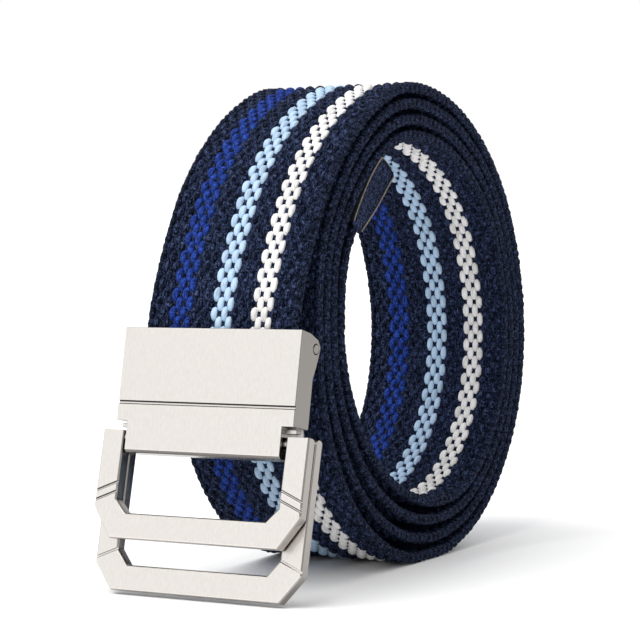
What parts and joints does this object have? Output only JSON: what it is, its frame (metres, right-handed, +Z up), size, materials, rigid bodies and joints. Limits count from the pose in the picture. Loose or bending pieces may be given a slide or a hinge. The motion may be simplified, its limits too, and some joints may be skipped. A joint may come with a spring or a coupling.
{
  "type": "webbing belt",
  "caption": "Woven nylon belt, rolled up, with a clamping metal clip and a hinged double ring that takes the free end.",
  "frame": {"origin": "middle of the belt's footprint, on the surface that it stands on", "axes": "+X along the axis of the roll, to the right as seen from the clip's side; +Y to the back, away from the clip; +Z up"},
  "size_m": [0.0518, 0.1194, 0.1088],
  "materials": {
    "webbing": "coarse navy weave with royal blue, light blue and white stripes",
    "wrap": "dark leather with pale cut edges",
    "clip_metal": "satin nickel",
    "ring_metal": "satin nickel with polished bevels",
    "lever_steel": "plain steel"
  },
  "bodies": {
    "belt": {"webbing": "webbing", "tip_wrap": "wrap", "clip_body": "clip_metal", "clamp_lever": "lever_steel", "lever_pin": "lever_steel"},
    "front_ring": {"front_ring": "ring_metal"},
    "rear_ring": {"rear_ring": "ring_metal"}
  },
  "joints": [
    {"name": "front_ring_swing", "type": "hinge", "parent": "belt", "child": "front_ring", "pos_m": [0, -0.05297, 0.03289], "axis": [1, 0, 0], "range_deg": [-100, 0]},
    {"name": "rear_ring_swing", "type": "hinge", "parent": "belt", "child": "rear_ring", "pos_m": [0, -0.05008, 0.03226], "axis": [1, 0, 0], "range_deg": [0, 65]}
  ]
}
